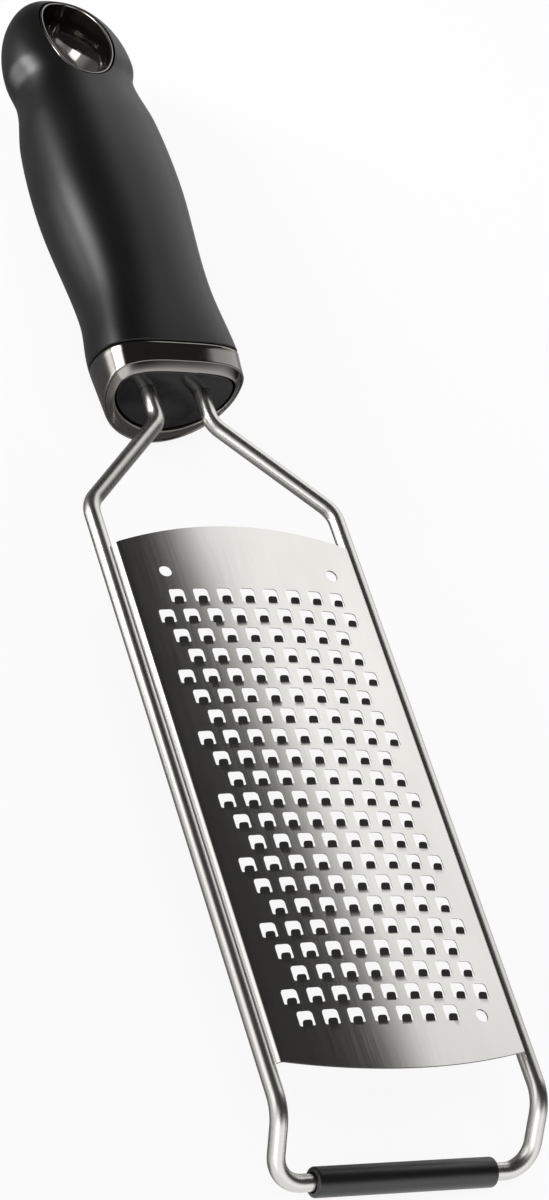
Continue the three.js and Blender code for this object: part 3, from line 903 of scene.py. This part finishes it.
def eyelet_rings():
    """Rings round the liner's wall, in one loop: top rim, funnel and bottom rim."""
    roll = round_arc(rim_roll, -rim_roll, rim_roll, 0, 180, 8)
    top = [eyelet_ring(margin, height, True) for margin, height in roll]
    bottom = [eyelet_ring(margin, -height, False) for margin, height in roll[::-1]]
    funnel = []
    for share in np.linspace(0, 1, funnel_steps + 1)[1:-1]:
        ring = []
        for high, low in zip(top[-1], bottom[0]):
            z = high[2] + (low[2] - high[2]) * share
            edge = high[2] if z > waist_z else low[2]
            reach = (z - waist_z) / (edge - waist_z)
            size = eyelet_waist + (1 - eyelet_waist) * reach ** eyelet_curve
            ring.append((high[0] * size, hole_y + (high[1] - hole_y) * size, z))
        funnel.append(ring)
    return top + funnel + bottom


eyelet = set_down("hole_liner", lofted("eyelet", eyelet_rings(), loop=True), black_chrome, 35)
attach(eyelet, "root")
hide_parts("hang_eyelet")

# Floor and light
# A white sweep in a dim room, with four large soft boxes far away: behind to the right, on the left, in
# front, and high on the left. Nearer stand a narrow box with a grid, for the sheen along the grip, and a wide
# one overhead that softens the shadows and is kept out of the gloss. These sizes are in metres.

# A far box is the spans of x, y and z over which it fades in, as directions, and its strength.
back_box = (((0.28, 0.42), (0.1, 0.5), (0.79, 0.715)), 1.25)
left_box = (((-0.5, -0.8), (-0.4, 0), (0.8, 0.6)), 1.5)
front_box = (((-2, -1), (-0.3, -0.7), (0.75, 0.45)), 1.2)
high_box = (((-0.1, -0.45), (-0.1, -0.45), (0.95, 0.75)), 0.8)
room_light = 0.035
floor_half = 3
floor_white = 0.9
floor_shine = 0.4
floor_haze = 0.12
# Where the floor's painted glow in the gloss rises along y, and its share of plain white before and after.
glow_edge = (-0.155, -0.165)
glow_shares = (0.08, 2)

floor_mesh = bpy.data.meshes.new("floor")
floor_corners = [(x * floor_half, y * floor_half, 0) for x, y in ((-1, -1), (1, -1), (1, 1), (-1, 1))]
floor_mesh.from_pydata(floor_corners, [], [(0, 1, 2, 3)])
floor = loose_object("floor", floor_mesh)

# White paper: the camera sees it almost evenly white, with the grater's shadow. In the gloss it is dim and a
# little shiny beside the grater, so that black stays black, and in front of the foot it carries a painted
# glow: a painted pool of light, seen in the gloss alone.
floor_paper, tree = bare_material("white_sweep")
rays = add_node(tree, "ShaderNodeLightPath").outputs
mirrored = add_node(
    tree, "ShaderNodeMath", {0: rays["Is Glossy Ray"], 1: rays["Is Transmission Ray"]}, operation="MAXIMUM"
).outputs[0]
shine = add_node(tree, "ShaderNodeMath", {0: mirrored, 1: floor_shine}, operation="MULTIPLY").outputs[0]
place = add_node(tree, "ShaderNodeTexCoord").outputs["Object"]
lengthwise = add_node(tree, "ShaderNodeSeparateXYZ", {0: place}).outputs[1]
# Painted glow: in the gloss the floor turns to plain white in front of the foot, a painted pool of light that
# no lamp casts.
glow = add_node(
    tree,
    "ShaderNodeMapRange",
    {
        "Value": lengthwise,
        "From Min": glow_edge[0],
        "From Max": glow_edge[1],
        "To Min": glow_shares[0],
        "To Max": glow_shares[1],
    },
).outputs[0]
glow = add_node(tree, "ShaderNodeMath", {0: mirrored, 1: glow}, operation="MULTIPLY").outputs[0]
seen = add_node(
    tree, "ShaderNodeMath", {0: rays["Is Camera Ray"], 1: floor_white}, operation="MULTIPLY"
).outputs[0]
whitened = add_node(tree, "ShaderNodeMath", {0: seen, 1: glow}, operation="MAXIMUM").outputs[0]
paper_shade = add_node(
    tree,
    "ShaderNodeMix",
    {"Factor": rays["Is Camera Ray"], 6: linear("#787878"), 7: linear("#F8F8F8")},
    data_type="RGBA",
).outputs[2]
matt = add_node(tree, "ShaderNodeBsdfDiffuse", {"Color": paper_shade}).outputs[0]
gloss = add_node(
    tree, "ShaderNodeBsdfGlossy", {"Color": linear("#FFFFFF"), "Roughness": floor_haze}
).outputs[0]
paper = add_node(tree, "ShaderNodeMixShader", {0: shine, 1: matt, 2: gloss}).outputs[0]
white = add_node(tree, "ShaderNodeEmission", {"Color": linear("#FFFFFF"), "Strength": 1}).outputs[0]
paper = add_node(tree, "ShaderNodeMixShader", {0: whitened, 1: paper, 2: white}).outputs[0]
add_node(tree, "ShaderNodeOutputMaterial", {"Surface": paper})
floor_mesh.materials.append(floor_paper)

# The room: dim but for its far boxes, and plain white where the camera looks past the floor.
world = bpy.data.worlds.new("studio")
world.use_nodes = True
tree = world.node_tree
tree.nodes.clear()
look = add_node(tree, "ShaderNodeTexCoord").outputs["Generated"]
look_parts = add_node(tree, "ShaderNodeSeparateXYZ", {0: look}).outputs
light = room_light
for fades, strength in (back_box, left_box, front_box, high_box):
    box_light = strength
    for part, (start, end) in zip(look_parts, fades):
        fade = add_node(
            tree,
            "ShaderNodeMapRange",
            {"Value": part, "From Min": start, "From Max": end},
            interpolation_type="SMOOTHSTEP",
        ).outputs[0]
        box_light = add_node(tree, "ShaderNodeMath", {0: fade, 1: box_light}, operation="MULTIPLY").outputs[0]
    light = add_node(tree, "ShaderNodeMath", {0: box_light, 1: light}, operation="ADD").outputs[0]
studio = add_node(tree, "ShaderNodeBackground", {"Color": linear("#FFFFFF"), "Strength": light}).outputs[0]
backdrop = add_node(tree, "ShaderNodeBackground", {"Color": linear("#FFFFFF"), "Strength": 1}).outputs[0]
rays = add_node(tree, "ShaderNodeLightPath").outputs
seen = add_node(
    tree, "ShaderNodeMath", {0: rays["Is Camera Ray"], 1: rays["Is Transmission Ray"]}, operation="MAXIMUM"
).outputs[0]
room = add_node(tree, "ShaderNodeMixShader", {0: seen, 1: studio, 2: backdrop}).outputs[0]
add_node(tree, "ShaderNodeOutputWorld", {"Surface": room})
scene.world = world


def soft_lamp(name, place, aim, size, power, spread, in_gloss):
    """A soft box turned to the point it lights, with its spread in degrees."""
    box = bpy.data.lights.new(name, "AREA")
    box.shape = "ELLIPSE"
    box.size, box.size_y = size
    box.energy = power
    box.spread = math.radians(spread)
    lamp = loose_object(name, box)
    lamp.location = place
    lamp.rotation_euler = (Vector(aim) - Vector(place)).to_track_quat("-Z", "Y").to_euler()
    lamp.visible_camera = False
    lamp.visible_glossy = in_gloss


soft_lamp(
    "strip_box",
    place=(-0.34, 0.22, 0.15),
    aim=(0, 0.165, 0.02),
    size=(0.14, 0.44),
    power=0.29,
    spread=60,
    in_gloss=True,
)
soft_lamp(
    "overhead_fill",
    place=(0, 0, 1.2),
    aim=(0, 0, 0),
    size=(1.2, 1.2),
    power=5,
    spread=180,
    in_gloss=False,
)
